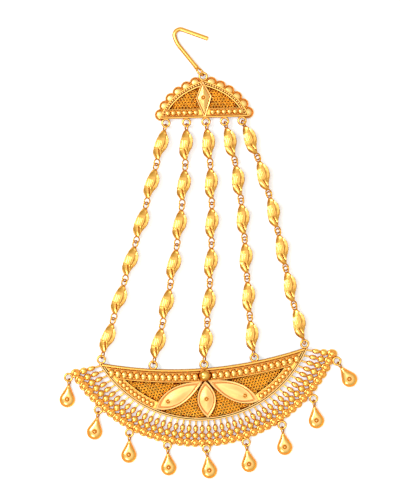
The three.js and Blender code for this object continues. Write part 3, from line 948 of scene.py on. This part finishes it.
CROWN_GRAINS = 14
crown_grain = grain("crown_grain", 0.9, 0.8)
spots = []
for i in range(CROWN_GRAINS):
    x = (i - (CROWN_GRAINS - 1) / 2) * 1.68
    if abs(x) > 1.5:
        spots.append(at(Vector((x, 1.74, 2.15))))
grains = finished(copies("crown_grains", crown_grain, spots), drop_gold)
band = [flat(-12.2, 0.2), flat(12.2, 0.2), flat(11.2, 2.6), flat(-11.2, 2.6)]
shelf = painted(stepped("crown_shelf", band, flat(0, 1.6), [(1, 0.2), (1, 1.75)]), plate_gold)

below = [flat(-14, -1), flat(14, -1), flat(14, 3.0), flat(-14, 3.0)]
crown_net = net("crown_net", arch(1.9)[::-1], [keep_clear, below], 1.5)

# %% Crown: rings, and all of it together
def eyelets(name, spots):
    """Rings on a plate's edge, each a copy of one ring."""
    unit = ring(name, EYELET_LOOKS, 0, (0, 0, 0), 24, 10)
    return finished(copies(name, unit, [at(spot) for spot in spots]), wire_gold)


spots = [crown_ring, *[crown_eyelet(strand) for strand in STRANDS]]
rings = eyelets("crown_rings", raised(spots, PLATE_RING_HEIGHT))
crown = joined(
    "chased_crown",
    [lobes, ground, *border, *bars, crown_leaf, grains, shelf, crown_net, rings],
)
settle(crown, at(flat(0, 0), CROWN_TILT), "worked_gold", "crown")

# %% [markdown]
# The crescent is built the same way about the middle of its lower arc. Along its top runs a row of
# big grains between wires, with a ball in the middle. Three leaves spread under the ball over the
# net, and a strip of small grains runs up to each horn. Below the rim wire hangs the fringe: each
# bar is a thin rod with an oval and a round bead on it, and it ends in a domed cup, which touches
# its neighbours.


# %% Crescent: plate, band and grains
def upper_line(from_x, to_x, inset, count=40):
    return [upper_rim(from_x + (to_x - from_x) * i / count, inset) for i in range(count + 1)]


def arc(radius, first, last, count):
    return [polar(radius, first + (last - first) * i / count) for i in range(count + 1)]


plate_outline = [
    *upper_line(RIM_HALF_SPAN, -RIM_HALF_SPAN, 0, 24),
    *arc(RIM_RADIUS, -horn_angle, horn_angle, 40)[1:-1],
]
# The crescent's ground under its net is a dark sheet of painted shade
plate = stepped("crescent_ground", plate_outline, flat(0, -27), [(1, 0), (1, 1.25)])
painted(plate, shade_sheet_gold)
half_top = RIM_HALF_SPAN - 0.8
band = upper_line(half_top, -half_top, 0.2, 24)
band += upper_line(-half_top + 3.2, half_top - 3.2, 3.6, 24)
shelf = painted(stepped("crescent_shelf", band, flat(0, -20), [(1, 0.2), (1, 1.8)]), plate_gold)

bars = []
for name, inset, height, thick, reach in (
    ("upper_wire", 0.42, 2.0, 0.44, RIM_HALF_SPAN - 0.6),
    ("second_wire", 1.15, 1.95, 0.2, RIM_HALF_SPAN - 2.0),
    ("lower_wire", 3.72, 1.95, 0.27, RIM_HALF_SPAN - 4.6),
):
    points = raised(upper_line(-reach, reach, inset), height)
    bars.append(finished(wire(name, points, thick, False, 2), wire_gold))
for radius, height, thick in ((RIM_RADIUS + 0.2, 1.4, 0.26), (RIM_RADIUS - 0.34, 1.6, 0.2)):
    rim = raised(arc(radius, -horn_angle, horn_angle, 60), height)
    bars.append(finished(wire("rim_wire", rim, thick, False, 1), leaf_gold))

line = upper_line(-RIM_HALF_SPAN + 3.2, RIM_HALF_SPAN - 3.2, 2.45, 80)
length = sum((b - a).length for a, b in zip(line, line[1:]))
count = 2 * int(length / 3.8) + 1
spots = raised([along(line, i / count) for i in range(count + 1)], 2.15)
spots = [at(p, math.degrees(p.x / upper_radius)) for p in spots if abs(p.x) > 2.0]
big_grain = grain("big_grain", 1.0, 0.78)
big_grain.data.transform(Matrix.Diagonal((1.0, 1.28, 1, 1)))
grains = copies("crescent_grains", big_grain, spots)
finished(grains, drop_gold)
ball = grain("crescent_ball", 1.85, 0.9, 4)
ball_spot = upper_rim(0, 2.1)
ball.data.transform(Matrix.Translation(ball_spot + Vector((0, 0, 2.1))))
finished(ball, wire_gold)
# The socket round the ball is painted dark, as shade
socket = stepped("ball_socket", circle(2.15, 24, ball_spot), ball_spot, [(1, 1), (1, 1.95)])
bars.append(painted(socket, shade_sheet_gold))
print("big grains:", len(spots))

# %% Crescent: leaves and net
root = upper_rim(0, 4.0)
base = 1.8
leaves = []
clear = []
small = leaf_outline(10.7, 5.2, 0.5, 12)
made = leaf("middle_leaf", small, flat(0, 5.2), base, 0.85, (0, 5.2, 0.85))
made.data.transform(at(root, 180))
leaves.append(made)
clear.append([turned(p * 1.08 - flat(0, 0.4), 180) + root for p in small])
long = leaf_outline(15.8, 5.2, 0.62, 16)
leaf_model = leaf("side_leaf", long, flat(0, 8.8), base, 0.8, (0, 11.6, 0.68))
for side in (-1, 1):
    made = copied(leaf_model, "side_leaf")
    place = at(root + flat(side * 1.1, 0), 180 + side * 64)
    made.data.transform(place)
    leaves.append(made)
    clear.append([(place @ (p * 1.05 - flat(0, 0.4))).to_3d() for p in long])
bpy.data.objects.remove(leaf_model)
band_hole = upper_line(-RIM_HALF_SPAN, RIM_HALF_SPAN, -1, 24)
band_hole += upper_line(RIM_HALF_SPAN, -RIM_HALF_SPAN, 4.05, 24)
field = [
    *upper_line(RIM_HALF_SPAN - 3.5, -RIM_HALF_SPAN + 3.5, 4.1, 24),
    *arc(RIM_RADIUS - 0.7, -horn_angle + 4, horn_angle - 4, 40),
]
strips = []
small_spots = []
for side in (-1, 1):
    for i in range(9):
        small_spots.append(at(polar(33.2, side * (29.7 + 2.5 * i)) + Vector((0, 0, 1.75))))
    edge = [polar(31.6, side * a) for a in (27, 33, 40, 47, 53)]
    strips.append([*edge, polar(35.5, side * 53), polar(35.5, side * 40), polar(35.5, side * 27)])
    lane = [polar(32.0, side * (27 + 27 * i / 8)) for i in range(9)]
    lane += [polar(34.5, side * (54 - 27 * i / 8)) for i in range(9)]
    lane = lane[::side]
    strip = stepped("strip_shelf", lane, polar(33, side * 40), [(1, 0.2), (1, 1.45)])
    bars.append(painted(strip, plate_gold))
    points = raised(arc(32.0, side * 28.2, side * 51.5, 16), 1.65)
    bars.append(finished(wire("strip_wire", points, 0.2, False, 1), plate_gold))
small_grains = copies("small_grains", grain("small_grain", 0.8, 0.75), small_spots)
finished(small_grains, drop_gold)
crescent_net = net("crescent_net", field, [*clear, band_hole, *strips], 1.5, 8)

# %% Crescent: fringe
# A bar is modelled this long, and each copy is stretched to reach its place on the edge
BAR_LENGTH = 7.25
bar_line = [Vector((0, 0, 0.8)), Vector((0, -6.4, 0.8))]
rod = finished(wire("fringe_rod", bar_line, 0.3, False, 1), fringe_gold)
oval = grain("fringe_oval", 0.76)
oval.data.transform(Matrix.Translation((0, -2.9, 0.9)) @ Matrix.Diagonal((1, 1.6, 1, 1)))
round_one = grain("fringe_round", 1.07, 0.85)
round_one.data.transform(Matrix.Translation((0, -5.0, 0.95)))
cup_steps = [(0.94, 0), (1, 0.2), (1, 0.85), (0.93, 1.1), (0.8, 1.26), (0.7, 1.3), (0.62, 1.1)]
cup_steps += [(0.56, 1.1), (0.46, 1.36), (0.25, 1.5), (0.05, 1.54)]
cup = stepped("fringe_cup", circle(scallop_radius * 1.06, 18), flat(0, 0), cup_steps)
cup.data.transform(Matrix.Translation((0, -BAR_LENGTH, 0)))
for part in (oval, round_one, cup):
    finished(part, fringe_gold, 45)
fringe_bar = joined("fringe_bar", [rod, oval, round_one, cup])
spots = []
for i in range(FRINGE_BARS):
    bar = i - last_bar
    foot = polar(RIM_RADIUS, rim_pitch * bar)
    end = polar(scallop_orbit(bar), scallop_pitch * bar)
    way = end - foot
    lean = math.degrees(math.atan2(way.x, -way.y))
    stretch = Matrix.Diagonal((1, way.length / BAR_LENGTH, 1, 1))
    spots.append(at(foot, lean) @ stretch)
fringe = painted(copies("fringe", fringe_bar, spots), fringe_gold)
print("fringe bars:", len(spots))

# %% Crescent: rings, and all of it together
spots = raised([rim_eyelet(strand) for strand in STRANDS], PLATE_RING_HEIGHT)
spots += raised([drop_eyelet(lies) for lies in DROPS], DROP_RING_HEIGHT)
rings = eyelets("crescent_rings", spots)
pieces = [plate, shelf, *bars, grains, ball, *leaves, small_grains, fringe, rings]
crescent = joined("chased_crescent", pieces)
settle(crescent, at(crescent_place, CRESCENT_TILT), "worked_gold", "crescent")
settle(crescent_net, at(crescent_place, CRESCENT_TILT), "worked_gold")

# %% [markdown]
# The photograph looks straight down on a white table, in soft light from the upper left. A long
# lens from high up keeps the plates free of perspective. A lamp at the upper left gives the soft
# shadow, and a weaker one lights the lower sides. The sky is bright overhead and dimmer and warmer
# towards the horizon, so that gold that faces up is pale and its sides turn orange. The table
# glows faintly, so that it shows as white as in the photograph.

# %% Floor, light and camera
PIXEL = 0.3
PHOTO_MIDDLE = (200, 250)
PHOTO_HEIGHT = 500
# The middle of the crescent's lower arc is at this pixel of the photograph
ARC_MIDDLE = (199.3, 303.8)
CAMERA_HEIGHT = 0.9
SENSOR = 24
SKY = (
    (0.5, (0.35, 0.3, 0.19, 1)),
    (0.8, (0.44, 0.4, 0.31, 1)),
    (0.93, (0.55, 0.5, 0.5, 1)),
)
arc_to_camera = flat(
    (PHOTO_MIDDLE[0] - ARC_MIDDLE[0]) * PIXEL,
    (ARC_MIDDLE[1] - PHOTO_MIDDLE[1]) * PIXEL,
)
camera_spot = origin + crescent_place + arc_to_camera
begin()
bpy.ops.mesh.primitive_plane_add(size=3)
floor = bpy.context.active_object
floor.name = "white_table"
white = bpy.data.materials.new("white_table")
white.use_nodes = True
paper = white.node_tree.nodes["Principled BSDF"]
paper.inputs["Base Color"].default_value = (0.9, 0.92, 0.94, 1)
paper.inputs["Roughness"].default_value = 0.9
paper.inputs["Emission Color"].default_value = (0.75, 0.95, 1.0, 1)
paper.inputs["Emission Strength"].default_value = 0.35
painted(floor, white)
floor.data.transform(Matrix.Translation((0, 0, -0.02 * MM)))

sky = bpy.data.worlds.new("soft_sky")
bpy.context.scene.world = sky
sky.use_nodes = True
nodes, links = sky.node_tree.nodes, sky.node_tree.links
place = nodes.new("ShaderNodeTexCoord")
split = nodes.new("ShaderNodeSeparateXYZ")
links.new(place.outputs["Generated"], split.inputs["Vector"])
shade = nodes.new("ShaderNodeValToRGB")
shade.color_ramp.elements[0].position = 0.08
shade.color_ramp.elements[0].color = (0.27, 0.19, 0.09, 1)
shade.color_ramp.elements[1].position = 0.985
shade.color_ramp.elements[1].color = (0.95, 0.93, 1.0, 1)
for height, colour in SKY:
    shade.color_ramp.elements.new(height).color = colour
links.new(split.outputs["Z"], shade.inputs["Fac"])
links.new(shade.outputs["Color"], nodes["Background"].inputs["Color"])
nodes["Background"].inputs["Strength"].default_value = 2.0

for name, spot, size, power in (
    ("soft_lamp", Vector((-0.34, 0.14, 0.5)), 0.26, 1.7),
    ("low_lamp", Vector((-0.18, -0.38, 0.4)), 0.16, 0.6),
):
    begin()
    bpy.ops.object.light_add(type="AREA", location=spot)
    lamp = bpy.context.active_object
    lamp.name = name
    lamp.data.size = size
    lamp.data.energy = power
    lamp.rotation_euler = (-spot).to_track_quat("-Z", "Y").to_euler()

begin()
bpy.ops.object.camera_add(location=(camera_spot.x * MM, camera_spot.y * MM, CAMERA_HEIGHT))
camera = bpy.context.active_object
camera.rotation_euler = (0, 0, 0)
camera.data.sensor_fit = "VERTICAL"
camera.data.sensor_height = SENSOR
camera.data.lens = SENSOR * CAMERA_HEIGHT / (PHOTO_HEIGHT * PIXEL * MM)
camera.data.clip_start = 0.01
camera.data.clip_end = 10
bpy.context.scene.camera = camera
bpy.context.scene.view_settings.view_transform = "Standard"
print("camera over", tuple(round(v, 2) for v in camera_spot), "mm")
